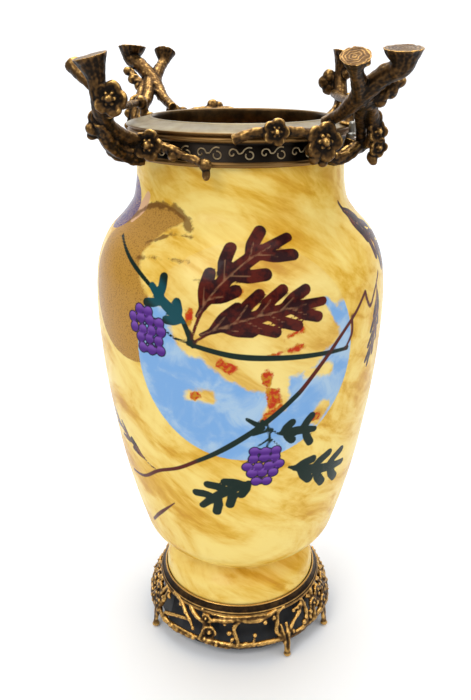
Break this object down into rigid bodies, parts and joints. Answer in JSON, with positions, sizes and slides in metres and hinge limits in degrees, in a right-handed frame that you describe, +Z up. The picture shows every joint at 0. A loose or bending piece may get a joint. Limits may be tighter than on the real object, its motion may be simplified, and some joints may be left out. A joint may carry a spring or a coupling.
{
  "type": "opaline vase with cast bronze mounts",
  "caption": "Tall shouldered opaline glass vase with painted leaves, an openwork bronze foot, a collar round the mouth and blossoming bronze branches.",
  "frame": {"origin": "centre of the underside, on the surface that the feet stand on", "axes": "+Z up along the vase's axis, -Y towards the front of the painting, +X to the viewer's right"},
  "size_m": [0.194, 0.2206, 0.4228],
  "materials": {
    "opaline_glass": "glossy opaque opaline glass with painted decoration",
    "gilt_bronze": "worn gilt bronze, dark in the hollows",
    "steel": "dull screw steel",
    "dark_metal": "blackened metal"
  },
  "bodies": {
    "root": {"opaline_vase": "opaline_glass", "rim_collar": "gilt_bronze", "branch_front_left": "gilt_bronze", "branch_front_right": "gilt_bronze", "branch_back_left": "gilt_bronze", "branch_back_right": "gilt_bronze", "fixing_bolt_right": "steel", "fixing_bolt_left": "steel", "foot_mount": "gilt_bronze", "inner_cup": "dark_metal"}
  },
  "joints": []
}
